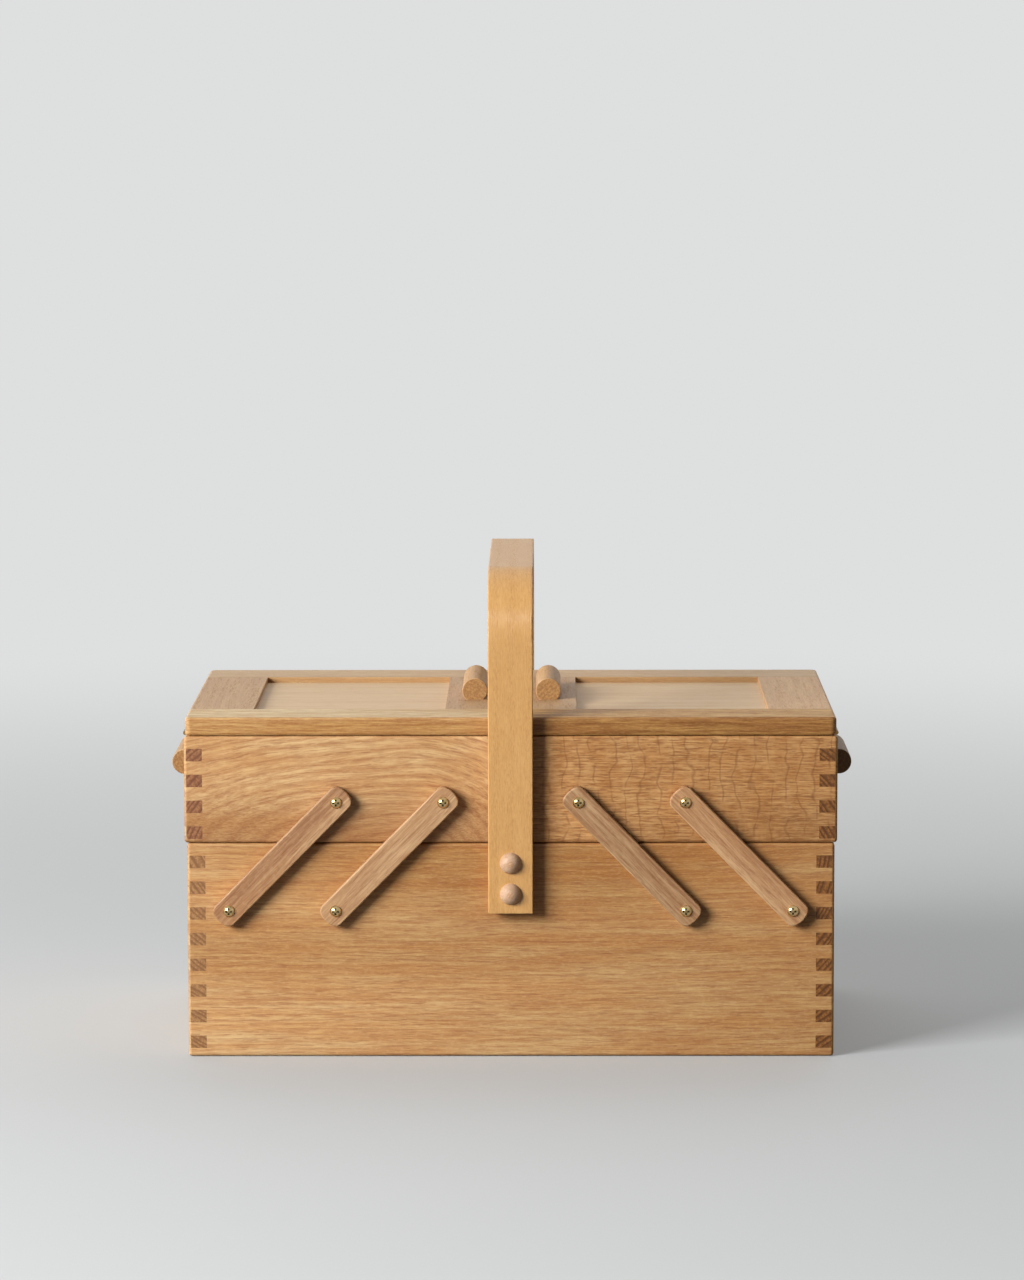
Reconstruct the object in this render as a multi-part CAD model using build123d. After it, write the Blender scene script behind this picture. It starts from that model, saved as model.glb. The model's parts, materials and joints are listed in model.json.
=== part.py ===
"""Sewing carrier: a comb-jointed box, two trays that swing out on arms, two framed lids.

Millimetres. +Z is up, the front looks towards -Y and X runs to the right. The origin is
on the floor under the middle of the box. The right half is modelled, and the left half
is its mirror image.
"""
from build123d import *
from math import cos, radians, sin
import os

# ---------------------------------------------------------------- driving dimensions
# Box and trays
box_width = 327.4
carcass_depth = 200.0
box_height = 109.35
tray_height = 54.25
tray_overhang = 1.3          # each tray reaches this far past the end of the box
centre_gap = 1.0             # between the two trays, and between the two lids
seam_gap = 0.3               # between the box rim and a tray, and a tray rim and its lid
wall = 9.2
arris = 1.6                  # rounding of the outer edges

# Base panels
base_thickness = 4.0
base_lift = 4.0              # from the lower edge of the boards to the panel
groove_depth = 5.0
groove_play = 0.3            # room beyond the edge of a panel in its groove

# Comb joints
finger_pitch = 13.2
finger_height = 6.4
first_finger_drop = 6.2      # from the upper edge of the boards to the first end finger

# Lids
lid_thickness = 9.3
lid_inset = 0.6              # the lid ends this far inside the end of its tray
rail_width = 33.5
stile_width = 33.0
lid_corner = 3.0             # rounding of its two outer corners, seen from above
panel_recess = 2.9
panel_thickness = 4.0
panel_tongue = 6.0
tenon_setback = 10.0         # from the end of a rail to the stile's stub tenon

# Half-round pulls
pull_diameter = 12.9
pull_height = 11.1
pull_length = 58.0
pull_edge = 0.5              # rounding of its end edges
lid_pull_inset = 18.5        # from the inner edge of the lid to the pull
tray_pull_drop = 22.7        # from the rim of the tray to the pull
pull_screw_spread = 34.0
pull_screw_bite = 6.0        # how far a screw goes into the pull

# Swing arms
arm_span = 77.6              # pivot to pivot
arm_lean = 44.5              # degrees from upright, towards the middle
arm_width = 13.4
arm_thickness = 5.0
arm_end = 7.3                # from a pivot to the end of the arm
arm_crown = 2.0              # how far its end bows out
arm_corner = 4.2
arm_arris = 0.8
outer_pivot_inset = 21.25    # from the end of the box to the outer arm's lower pivot
arm_spacing = 53.95          # from one lower pivot to the next
pivot_drop = 33.65           # from the rim of the box to the lower pivots

# Pivot screws and washers
shank_radius = 1.6
shank_play = 0.08
screw_bite = 6.8
screw_head_radius = 2.9
screw_head_height = 2.1
screw_head_rim = 0.45
cross_slot_width = 1.0
cross_slot_length = 3.4
cross_slot_depth = 1.4
washer_radius = 4.4
washer_thickness = 0.8

# Handle
strap_width = 22.7
strap_thickness = 5.0
strap_standoff = 3.0         # from the face of the box to the strap
strap_bend = 36.0            # outer radius of its two corners
strap_arris = 0.7
hand_room = 68.9             # from the top of the lids to the strap
leg_lap = 34.55              # how far the legs reach down over the box
pad_rim_gap = 1.2            # from the rim of the box to the top of a pad
peg_end_distance = 9.8       # from the end of a leg to its lower peg
peg_spacing = 15.8
peg_radius = 3.0
peg_head_radius = 5.5
peg_head_height = 4.4

# Hinges
hinge_length = 20.0
hinge_end_distance = 12.8    # from the front or back of the tray to the hinge
hinge_overhang = 0.0         # how far the pin stands outside the tray's end
leaf_width = 8.0
leaf_thickness = 0.9
barrel_radius = 1.1
pin_radius = 0.55
pin_play = 0.05
barrel_room = 0.3            # clear space round the barrel
knuckle_gap = 0.15
hinge_screw_radius = 1.0
hinge_screw_head_radius = 1.8
hinge_screw_length = 6.0

cut_over = 1.0               # how far a cutting shape runs past the face it cuts

# ---------------------------------------------------------------- places worked out
half_depth = carcass_depth / 2
half_box = box_width / 2
tray_x = (centre_gap / 2, half_box + tray_overhang)
lid_x = (centre_gap / 2, tray_x[1] - lid_inset)
full_y = (-half_depth, half_depth)
box_z = (0.0, box_height)
tray_z = (box_height + seam_gap, box_height + seam_gap + tray_height)
lid_z = (tray_z[1] + seam_gap, tray_z[1] + seam_gap + lid_thickness)

panel_z = (lid_z[1] - panel_recess - panel_thickness, lid_z[1] - panel_recess)
window_x = (lid_x[0] + stile_width, lid_x[1] - stile_width)
window_y = (-half_depth + rail_width, half_depth - rail_width)

pivot_z = box_height - pivot_drop
outer_pivot_x = half_box - outer_pivot_inset
inner_pivot_x = outer_pivot_x - arm_spacing
arm_run = arm_span * sin(radians(arm_lean))
arm_rise = arm_span * cos(radians(arm_lean))
arm_y = -half_depth - washer_thickness
screw_seat_y = arm_y - arm_thickness

strap_inner_y = half_depth + strap_standoff
strap_outer_y = strap_inner_y + strap_thickness
strap_top = lid_z[1] + hand_room + strap_thickness
leg_end = box_height - leg_lap
peg_heights = [leg_end + peg_end_distance + step * peg_spacing for step in (0, 1)]

hinge_x = tray_x[1] + hinge_overhang
hinge_z = (tray_z[1] + lid_z[0]) / 2
hinge_y = (-half_depth + hinge_end_distance, -half_depth + hinge_end_distance + hinge_length)

lid_pull_x = lid_x[0] + lid_pull_inset
tray_pull_z = tray_z[1] - tray_pull_drop
pull_screw_places = [-pull_screw_spread / 2, pull_screw_spread / 2]


# ---------------------------------------------------------------- small helpers
def grown(span, amount):
    """A span made longer by an amount at each end."""
    return (span[0] - amount, span[1] + amount)


def middle(span):
    """The middle of a span."""
    return (span[0] + span[1]) / 2


def block(x, y, z):
    """A box from three spans."""
    size = [high - low for low, high in (x, y, z)]
    return Pos(middle(x), middle(y), middle(z)) * Box(*size)


def rounded_block(x, y, z, radius):
    """A box from three spans with every edge rounded."""
    solid = block(x, y, z)
    return fillet(solid.edges(), radius)


def rod_y(x, z, radius, y):
    """A rod along Y that fills a span."""
    return Pos(x, middle(y), z) * Rot(90, 0, 0) * Cylinder(radius, y[1] - y[0])


def group(solids):
    """Separate solids that share one node."""
    return Compound(children=list(solids))


def front_and_back(shape):
    """A shape at the front and its mirror image at the back."""
    return [shape, mirror(shape, about=Plane.XZ)]


def left_and_right(shape):
    """A shape on the right and its mirror image on the left."""
    return [shape, mirror(shape, about=Plane.YZ)]


# ---------------------------------------------------------------- boards and combs
def end_fingers(x, z):
    """The fingers of the end boards, in all four corners of a carcass."""
    zones_x = [(x[0], x[0] + wall), (x[1] - wall, x[1])]
    zones_y = [(full_y[0], full_y[0] + wall), (full_y[1] - wall, full_y[1])]
    top = z[1] - first_finger_drop
    fingers = []
    while top - finger_height > z[0]:
        for zone_x in zones_x:
            for zone_y in zones_y:
                fingers.append(block(zone_x, zone_y, (top - finger_height, top)))
        top -= finger_pitch
    return fingers


def carcass(x, z):
    """The four comb-jointed boards of a box or tray and its base panel."""
    outer = rounded_block(x, full_y, z, arris)
    fingers = end_fingers(x, z)
    inside_x = grown(x, -wall)
    inside_y = grown(full_y, -wall)
    groove_z = (z[0] + base_lift, z[0] + base_lift + base_thickness)
    groove = block(grown(inside_x, groove_depth), grown(inside_y, groove_depth), groove_z)
    base_reach = groove_depth - groove_play
    base = block(grown(inside_x, base_reach), grown(inside_y, base_reach), groove_z)
    front = (outer & block(x, (full_y[0], full_y[0] + wall), z)) - fingers
    back = (outer & block(x, (full_y[1] - wall, full_y[1]), z)) - fingers
    inner_end = (outer & block((x[0], x[0] + wall), full_y, z)) - front - back
    outer_end = (outer & block((x[1] - wall, x[1]), full_y, z)) - front - back
    boards = [front - groove, back - groove, inner_end - groove, outer_end - groove]
    return boards, base


# ---------------------------------------------------------------- fasteners
def dome(radius, height):
    """A round cap that stands on the XY plane."""
    ball = (radius ** 2 + height ** 2) / (2 * height)
    whole = Pos(0, 0, height - ball) * Sphere(ball)
    return whole & block((-radius, radius), (-radius, radius), (0, height))


def round_head_screw(length):
    """A round-headed cross-slot screw that points down from its seat at the origin."""
    rim = Pos(0, 0, screw_head_rim / 2) * Cylinder(screw_head_radius, screw_head_rim)
    cap = Pos(0, 0, screw_head_rim) * dome(screw_head_radius, screw_head_height - screw_head_rim)
    slot_z = (screw_head_height - cross_slot_depth, screw_head_height)
    across = (-cross_slot_width / 2, cross_slot_width / 2)
    along = (-cross_slot_length / 2, cross_slot_length / 2)
    head = (rim + cap) - [block(across, along, slot_z), block(along, across, slot_z)]
    return head + Pos(0, 0, -length / 2) * Cylinder(shank_radius, length)


def countersunk_screw(radius, head_radius, length):
    """A countersunk screw whose flat head lies at the origin and that points down."""
    sink = head_radius - radius
    head = Pos(0, 0, -sink / 2) * Cone(radius, head_radius, sink)
    return head + Pos(0, 0, -length / 2) * Cylinder(radius, length)


def washer():
    """A washer that lies on the XY plane."""
    ring = Cylinder(washer_radius, washer_thickness) - Cylinder(shank_radius, washer_thickness)
    return Pos(0, 0, washer_thickness / 2) * ring


def facing_front(shape, x, y, z):
    """Turn a shape's +Z towards the front, at a place."""
    return Pos(x, y, z) * Rot(90, 0, 0) * shape


def pivot_screws(places):
    """The screws of pivots on the front, and their twins at the back."""
    length = arm_thickness + washer_thickness + screw_bite
    solids = []
    for x, z in places:
        solids += front_and_back(facing_front(round_head_screw(length), x, screw_seat_y, z))
    return solids


def pivot_washers(places):
    """The washers of pivots on the front, and their twins at the back."""
    solids = []
    for x, z in places:
        solids += front_and_back(facing_front(washer(), x, -half_depth, z))
    return solids


def pivot_pilots(places):
    """What the pivot screws fill of the front board."""
    return [rod_y(x, z, shank_radius, (-half_depth, -half_depth + screw_bite)) for x, z in places]


box_pivots = [(outer_pivot_x, pivot_z), (inner_pivot_x, pivot_z)]
tray_pivots = [(x - arm_run, z + arm_rise) for x, z in box_pivots]


# ---------------------------------------------------------------- swing arms
def front_arm(x):
    """The arm in front whose lower pivot is at x."""
    half = arm_width / 2
    foot, head = -arm_end, arm_span + arm_end
    outline = make_face([
        Line((-half, foot + arm_crown), (-half, head - arm_crown)),
        ThreePointArc((-half, head - arm_crown), (0, head), (half, head - arm_crown)),
        Line((half, head - arm_crown), (half, foot + arm_crown)),
        ThreePointArc((half, foot + arm_crown), (0, foot), (-half, foot + arm_crown)),
    ])
    outline = fillet(outline.vertices(), arm_corner)
    bar = extrude(Plane.XZ * outline, arm_thickness)
    bar = fillet(bar.faces().filter_by(Axis.Y).edges(), arm_arris)
    for height in (0, arm_span):
        bar -= rod_y(0, height, shank_radius + shank_play, (-arm_thickness, 0))
    return Pos(x, arm_y, pivot_z) * Rot(0, -arm_lean, 0) * bar


# ---------------------------------------------------------------- handle
def strap_outline(reach, top, radius):
    """One side of the bent strap, from the end of one leg to the end of the other."""
    return FilletPolyline(
        (-reach, leg_end), (-reach, top), (reach, top), (reach, leg_end), radius=radius)


def handle_strap():
    """The strap: up the front, over the top and down the back."""
    outside = strap_outline(strap_outer_y, strap_top, strap_bend)
    inside = strap_outline(strap_inner_y, strap_top - strap_thickness, strap_bend - strap_thickness)
    feet = [
        Line((side * strap_inner_y, leg_end), (side * strap_outer_y, leg_end)) for side in (-1, 1)
    ]
    outline = make_face(outside.edges() + inside.edges() + feet)
    strap = extrude(Plane.YZ * outline, strap_width / 2, both=True)
    return fillet(strap.faces().filter_by(Axis.X).edges(), strap_arris)


def handle_pad():
    """The pad between the box and the front leg."""
    return block(
        (-strap_width / 2 + strap_arris, strap_width / 2 - strap_arris),
        (-strap_inner_y, -half_depth),
        (leg_end + strap_arris, box_height - pad_rim_gap))


def peg(z):
    """A domed peg in the front leg that ends flush inside the box."""
    length = strap_outer_y - (half_depth - wall)
    shank = Pos(0, 0, -length / 2) * Cylinder(peg_radius, length)
    return facing_front(dome(peg_head_radius, peg_head_height) + shank, 0, -strap_outer_y, z)


def peg_holes():
    """What the front pegs fill of the strap, the pad and the board."""
    return [rod_y(0, z, peg_radius, (-strap_outer_y, -half_depth + wall)) for z in peg_heights]


# ---------------------------------------------------------------- pulls
def pull():
    """A half-round pull along Y whose flat lies on the XY plane."""
    centre_z = pull_height - pull_diameter / 2
    y = (-pull_length / 2, pull_length / 2)
    bar = fillet(rod_y(0, centre_z, pull_diameter / 2, y).edges().filter_by(GeomType.CIRCLE), pull_edge)
    return bar & block((-pull_diameter, pull_diameter), grown(y, cut_over), (0, pull_diameter))


def pull_screws(thickness):
    """The two screws that come up through a board of a thickness into a pull on it."""
    head_radius = 2 * shank_radius
    screw = countersunk_screw(shank_radius, head_radius, thickness + pull_screw_bite)
    return [Pos(0, y, -thickness) * Rot(180, 0, 0) * screw for y in pull_screw_places]


def on_lid(shape):
    """Put a shape of a pull on top of the lid's inner stile."""
    return Pos(lid_pull_x, 0, lid_z[1]) * shape


def on_tray_end(shape):
    """Put a shape of a pull on the outer face of the tray's outer end."""
    return Pos(tray_x[1], 0, tray_pull_z) * Rot(0, 90, 0) * shape


# ---------------------------------------------------------------- hinges
knuckle = (hinge_length - 2 * knuckle_gap) / 3
lid_knuckle_y = (middle(hinge_y) - knuckle / 2, middle(hinge_y) + knuckle / 2)
tray_knuckles_y = [(hinge_y[0], hinge_y[0] + knuckle), (hinge_y[1] - knuckle, hinge_y[1])]
leaf_x = (hinge_x - leaf_width, hinge_x)
hinge_screw_x = tray_x[1] - wall / 2
hinge_screws_y = [hinge_y[0] + hinge_length / 4, hinge_y[1] - hinge_length / 4]


def barrel(y, radius):
    """A stretch of the hinge's barrel."""
    return rod_y(hinge_x, hinge_z, radius, y)


def hinge_screws(face_z, points_up):
    """The screws of one leaf whose open face is at a height."""
    screw = countersunk_screw(hinge_screw_radius, hinge_screw_head_radius, hinge_screw_length)
    turned = Rot(180, 0, 0) * screw if points_up else screw
    return [Pos(hinge_screw_x, y, face_z) * turned for y in hinge_screws_y]


def leaf(plate_z, face_z, own_knuckles, other_knuckles, hole_radius, points_up):
    """A hinge leaf with its knuckles, its pin hole and its screw holes."""
    plate = block(leaf_x, hinge_y, plate_z)
    plate -= [barrel(grown(y, knuckle_gap), barrel_radius + barrel_room) for y in other_knuckles]
    plate += [barrel(y, barrel_radius) for y in own_knuckles]
    plate -= barrel(grown(hinge_y, cut_over), hole_radius)
    return plate - hinge_screws(face_z, points_up)


def hinge_pocket(plate_z):
    """The room that a hinge needs in the edge of a board."""
    pocket = block(leaf_x, hinge_y, plate_z)
    return pocket + barrel(grown(hinge_y, barrel_room), barrel_radius + barrel_room)


tray_leaf_z = (tray_z[1] - leaf_thickness, tray_z[1])
lid_leaf_z = (lid_z[0], lid_z[0] + leaf_thickness)


# ---------------------------------------------------------------- the bodies
def box_parts():
    """The bottom box, its handle and the lower pivots of the arms."""
    (front, back, left, right), base = carcass((-half_box, half_box), box_z)
    holes = peg_holes()
    for pilot in pivot_pilots(box_pivots):
        holes += left_and_right(pilot)
    back_holes = [mirror(hole, about=Plane.XZ) for hole in holes]
    all_peg_holes = [twin for hole in peg_holes() for twin in front_and_back(hole)]
    pads = [pad - all_peg_holes for pad in front_and_back(handle_pad())]
    screws, washers, pegs = [], [], []
    for screw in pivot_screws(box_pivots):
        screws += left_and_right(screw)
    for ring in pivot_washers(box_pivots):
        washers += left_and_right(ring)
    for z in peg_heights:
        pegs += front_and_back(peg(z))
    return {
        "box_front_board": front - holes,
        "box_back_board": back - back_holes,
        "box_left_board": left,
        "box_right_board": right,
        "box_base_panel": base,
        "handle_strap": handle_strap() - all_peg_holes,
        "handle_pads": group(pads),
        "handle_pegs": group(pegs),
        "box_pivot_screws": group(screws),
        "box_pivot_washers": group(washers),
    }


def tray_parts():
    """The right-hand tray."""
    (front, back, inner_end, outer_end), base = carcass(tray_x, tray_z)
    pilots = pivot_pilots(tray_pivots)
    end_screws = [on_tray_end(screw) for screw in pull_screws(wall)]
    rim_screws = hinge_screws(tray_z[1], False)
    tray_leaf = leaf(tray_leaf_z, tray_z[1], tray_knuckles_y, [lid_knuckle_y], pin_radius, False)
    pockets = front_and_back(hinge_pocket((tray_leaf_z[0], tray_leaf_z[1] + seam_gap)))
    leaf_screws = [twin for screw in rim_screws for twin in front_and_back(screw)]
    return {
        "tray_front_board": front - pilots,
        "tray_back_board": back - [mirror(pilot, about=Plane.XZ) for pilot in pilots],
        "tray_inner_board": inner_end,
        "tray_outer_board": outer_end - pockets - leaf_screws - end_screws,
        "tray_base_panel": base,
        "tray_pull": on_tray_end(pull()) - end_screws,
        "tray_pull_screws": group(end_screws),
        "tray_pivot_screws": group(pivot_screws(tray_pivots)),
        "tray_pivot_washers": group(pivot_washers(tray_pivots)),
        "tray_hinge_leaves": group(front_and_back(tray_leaf)),
        "tray_hinge_screws": group(leaf_screws),
        "hinge_pins": group(front_and_back(barrel(hinge_y, pin_radius))),
    }


def lid_blank():
    """The lid's outer shape, rounder at the two corners that the hand meets."""
    blank = block(lid_x, full_y, lid_z)
    outer_corners = blank.edges().filter_by(Axis.Z).sort_by(Axis.X)[-2:]
    blank = fillet(outer_corners, lid_corner)
    inner_corners = blank.edges().filter_by(Axis.Z).sort_by(Axis.X)[:2]
    return fillet(blank.faces().filter_by(Axis.Z).edges() + inner_corners, arris)


def lid_parts():
    """The right-hand lid."""
    outer = lid_blank()
    groove_reach = panel_tongue + groove_play
    groove = block(grown(window_x, groove_reach), grown(window_y, groove_reach), panel_z)
    panel = block(grown(window_x, panel_tongue), grown(window_y, panel_tongue), panel_z)
    front_rail = outer & block(lid_x, (full_y[0], window_y[0]), lid_z)
    back_rail = outer & block(lid_x, (window_y[1], full_y[1]), lid_z)
    tenons_x = {
        "inner": (lid_x[0] + tenon_setback, window_x[0] - groove_reach),
        "outer": (window_x[1] + groove_reach, lid_x[1] - tenon_setback),
    }
    stiles_x = {"inner": (lid_x[0], window_x[0]), "outer": (window_x[1], lid_x[1])}
    screws = [on_lid(screw) for screw in pull_screws(lid_thickness)]
    lid_leaf = leaf(
        lid_leaf_z, lid_z[0], [lid_knuckle_y], tray_knuckles_y, pin_radius + pin_play, True)
    leaf_screws = [
        twin for screw in hinge_screws(lid_z[0], True) for twin in front_and_back(screw)]
    pockets = front_and_back(hinge_pocket((lid_leaf_z[0] - seam_gap, lid_leaf_z[1])))
    stiles = {}
    for name, x in stiles_x.items():
        tenon = block(tenons_x[name], grown(window_y, panel_tongue), panel_z)
        stiles[name] = ((outer & block(x, window_y, lid_z)) - groove) + tenon
    tenon_slots = [block(x, grown(window_y, panel_tongue), panel_z) for x in tenons_x.values()]
    return {
        "lid_front_rail": front_rail - groove - tenon_slots - pockets - leaf_screws,
        "lid_back_rail": back_rail - groove - tenon_slots - pockets - leaf_screws,
        "lid_inner_stile": stiles["inner"] - screws,
        "lid_outer_stile": stiles["outer"] - pockets,
        "lid_panel": panel,
        "lid_pull": on_lid(pull()) - screws,
        "lid_pull_screws": group(screws),
        "lid_hinge_leaves": group(front_and_back(lid_leaf)),
        "lid_hinge_screws": group(leaf_screws),
    }


def arm_parts():
    """The four right-hand arms."""
    parts = {}
    for place, x in (("outer", outer_pivot_x), ("inner", inner_pivot_x)):
        front, back = front_and_back(front_arm(x))
        parts[f"front_{place}_arm"] = front
        parts[f"back_{place}_arm"] = back
    return parts


def write(name, shape):
    """Write one node."""
    export_step(shape, f"parts/{name}.step")


os.makedirs("parts", exist_ok=True)
for node, solid in box_parts().items():
    write(node, solid)
for node, solid in {**arm_parts(), **tray_parts(), **lid_parts()}.items():
    right_side, left_side = left_and_right(solid)
    write(f"right_{node}", right_side)
    write(f"left_{node}", left_side)
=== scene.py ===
"""Dresses a sewing carrier in planed oak, bent beech, turned birch and brass.

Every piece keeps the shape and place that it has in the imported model. This script gives each
one its own cut of timber, with the heart of the log where the saw left it, or its own metal,
and stands the carrier on a pale floor in soft light.
"""

import json
import logging
from dataclasses import dataclass, field, replace
from enum import Enum
from math import pi, radians

import bmesh
import bpy
from mathutils import Euler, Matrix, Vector

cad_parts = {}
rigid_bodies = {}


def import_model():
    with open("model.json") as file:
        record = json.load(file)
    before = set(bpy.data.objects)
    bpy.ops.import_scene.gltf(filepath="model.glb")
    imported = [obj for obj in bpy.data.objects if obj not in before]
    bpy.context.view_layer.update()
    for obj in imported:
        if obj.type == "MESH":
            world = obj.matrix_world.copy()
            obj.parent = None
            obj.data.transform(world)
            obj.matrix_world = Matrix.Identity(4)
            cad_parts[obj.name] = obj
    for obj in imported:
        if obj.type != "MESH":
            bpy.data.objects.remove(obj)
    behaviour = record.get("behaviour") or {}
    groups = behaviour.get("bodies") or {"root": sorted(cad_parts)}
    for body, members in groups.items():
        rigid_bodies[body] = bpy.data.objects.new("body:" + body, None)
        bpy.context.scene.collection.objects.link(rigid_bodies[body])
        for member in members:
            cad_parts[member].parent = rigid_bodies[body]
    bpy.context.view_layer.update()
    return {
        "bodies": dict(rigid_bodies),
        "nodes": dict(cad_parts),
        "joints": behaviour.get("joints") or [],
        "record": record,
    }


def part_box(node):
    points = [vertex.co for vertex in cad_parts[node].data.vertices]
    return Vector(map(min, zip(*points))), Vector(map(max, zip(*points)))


LOG = logging.getLogger("sewing_carrier")
MM = 0.001

Pair = tuple[float, float]
Triple = tuple[float, float, float]
Socket = bpy.types.NodeSocket
Value = Socket | float
Inputs = dict[int | str, object]

# The sRGB curve: where its straight foot ends, how steep that is, and the power and lift above it.
SRGB_FOOT, SRGB_SLOPE, SRGB_LIFT, SRGB_POWER = 0.04045, 12.92, 0.055, 2.4


# ------------------------------------------------------------------ small helpers
def linear(hex_colour: str, tone: float = 1.0) -> tuple[float, float, float, float]:
    """Turns an sRGB hex colour into the linear one that the shaders take.

    Args:
        hex_colour: six hex digits, such as "c79a68".
        tone: how much lighter or darker this piece is than its finish.

    Returns:
        Red, green, blue and an alpha of 1.
    """
    parts = [int(hex_colour[at:at + 2], 16) / 255 for at in (0, 2, 4)]
    lit = [part / SRGB_SLOPE if part <= SRGB_FOOT
           else ((part + SRGB_LIFT) / (1 + SRGB_LIFT)) ** SRGB_POWER for part in parts]
    return (*(min(1.0, part * tone) for part in lit), 1.0)


def add_node(
    tree: bpy.types.NodeTree, kind: str, inputs: Inputs, output: int | str = 0, **settings: object
) -> Socket:
    """Adds one node with its settings and links.

    Args:
        tree: the tree it goes into.
        kind: its type, after the word ShaderNode.
        inputs: a value or a socket for each input that differs from its default, by name or number.
        output: which of its outputs to hand back.
        **settings: its own properties, such as operation.

    Returns:
        That output.
    """
    node = tree.nodes.new("ShaderNode" + kind)
    for name, value in settings.items():
        setattr(node, name, value)
    for key, value in inputs.items():
        if isinstance(value, Socket):
            tree.links.new(value, node.inputs[key])
        else:
            node.inputs[key].default_value = value
    return node.outputs[output]


def start_material(name: str) -> bpy.types.Material:
    """Makes a material that has nothing but its output yet."""
    material = bpy.data.materials.new(name)
    material.use_nodes = True
    nodes = material.node_tree.nodes
    nodes.remove(nodes["Principled BSDF"])
    return material


def end_material(tree: bpy.types.NodeTree, surface: Socket) -> None:
    """Links a material's surface to its output."""
    tree.links.new(surface, tree.nodes["Material Output"].inputs["Surface"])


# ------------------------------------------------------------------ finishes
class Grain(Enum):
    """Which way the fibres of a straight piece run, as the turn in degrees that lays X along them."""

    ALONG_X = (0.0, 0.0, 0.0)
    ALONG_Y = (0.0, 0.0, 90.0)
    ALONG_Z = (0.0, -90.0, 0.0)


class Side(Enum):
    """The two halves of the carrier, and which way along X each one lies."""

    LEFT = -1
    RIGHT = 1

    @property
    def word(self) -> str:
        """The side's name as the pieces have it."""
        return self.name.lower()


@dataclass(frozen=True)
class Wood:
    """A timber, planed, sanded and oiled. Lengths are millimetres, depths run from 0 to 1."""

    name: str
    pale: str                        # dense late wood
    dark: str                        # open early wood and strands of darker fibre
    warm: str                        # the tone that whole stretches drift to
    deep: str                        # the tone of the heartwood that some boards run into, also painted as the light's falloff
    pore: str                        # the bottom of a pore
    ray: str                         # ray flecks; also the colour of the paler edges, worn and with a painted highlight
    end: str                         # end grain
    end_dark: str                    # its open rings and cut pores
    ring: float = 2.4                # width of a year's growth
    ring_depth: float = 0.16
    wander: float = 2.0              # how far the rings stray from true circles
    drift: Pair = (80.0, 7.0)        # length and width of the stretches that drift
    drift_depth: float = 0.75
    strand: Pair = (36.0, 1.5)       # length and width of the long darker strands
    strand_depth: float = 0.42
    fibre: Pair = (10.0, 0.8)        # length and width of the fine fibres
    fibre_depth: float = 0.55
    pore_size: Pair = (9.0, 0.8)
    pore_depth: float = 0.35
    fleck: Triple = (2.5, 6.0, 0.5)  # of a ray: along the fibres, outwards, round the log
    fleck_depth: float = 0.1
    ray_edge: Pair = (8.0, 18.0)     # spacing and reach of the wavy lines that rays draw
    ray_edge_depth: float = 0.0
    end_ring_depth: float = 0.8      # how far the open rings show in end grain
    end_speck_depth: float = 0.55    # how far its cut pores do
    roughness: float = 0.48
    index: float = 1.38              # how strongly the surface shines at a low angle
    edge_wear: float = 0.2           # how much paler the edges are: handling wear, and a painted highlight on the arrises


@dataclass(frozen=True)
class Cut:
    """How one piece was sawn out of its log. Lengths are millimetres, depths run from 0 to 1."""

    grain: Triple                    # turn in degrees that lays X along the fibres
    heart: Triple                    # from the middle of the piece to the heart of the log
    taper: Pair = (0.0, 0.0)         # how fast the rings close up, before and after the heart
    heartwood: Pair = (0.0, 0.0)     # painted falloff of the light: how deep the heartwood's tone is at the two ends of the fibres
    core: Triple = (0.0, 1.0, 0.0)   # radius where the core ends, where it has faded, and its depth
    core_taper: float = 0.0          # how fast the core closes up along the fibres
    streak: Triple = (0.0, 1.0, 0.0)  # a darker streak: height above the heart, half its width, depth
    tone: float = 1.0
    seed: float = 0.0


@dataclass(frozen=True)
class Metal:
    """A polished or drawn metal."""

    name: str
    bright: str
    dull: str                  # where a film of oxide has started
    film: float                # size of the patches of film, millimetres
    roughness: float
    scratch: float = 0.35      # width of the finest polishing marks, millimetres
    soil: str = "2e2410"       # painted shade in the slots
    soil_reach: float = 1.2    # how near two faces must be for the painted shade, millimetres


# Oiled oak: golden tan with soft red-brown strands and faint short pores along the fibres.
OAK = Wood("oiled_oak", pale="d4b17e", dark="a97246", warm="ca9961", deep="a06b34", pore="875130",
           ray="e2bf8e", end="ae7d54", end_dark="744328")
# Oak whose sawn ends stay pale.
PALE_END_OAK = replace(OAK, name="pale_end_oak", end="ab7f52", end_dark="7e5434")
# Oak whose sawn ends are russet.
RUSSET_END_OAK = replace(OAK, name="russet_end_oak", end="a5724c", end_dark="6e3f28")
# Oak from nearer the heart: a deeper, browner tan.
HEART_OAK = replace(OAK, name="heart_oak", pale="c8965a", dark="955f2d", warm="b27b42", deep="93602f",
                    pore="764522", ray="d4aa74", end="966231", end_dark="4f2a0e")
# Oak from the outside of the log: a paler, yellower tan, with its strands well marked.
SAP_OAK = replace(OAK, name="sap_oak", pale="d9c9a3", dark="a98255", warm="ccb484", deep="9f6718",
                  strand_depth=0.8, fibre_depth=0.75)
# Oak of a duller, pinker brown, full of darker strands.
STREAKED_OAK = replace(HEART_OAK, name="streaked_oak", pale="c7a364", dark="825525", warm="af844c",
                       deep="815021", strand_depth=0.8, fibre_depth=0.75, pore_depth=0.5)
# Oak sawn flat on to the rings: broad soft arches of early wood.
PLAIN_SAWN_OAK = replace(OAK, name="plain_sawn_oak", pale="dbb581", dark="a76e40", warm="cd9e66",
                         deep="95602f", ring=4.2, ring_depth=0.36, wander=4.5, drift=(60.0, 14.0),
                         strand_depth=0.35)
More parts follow.
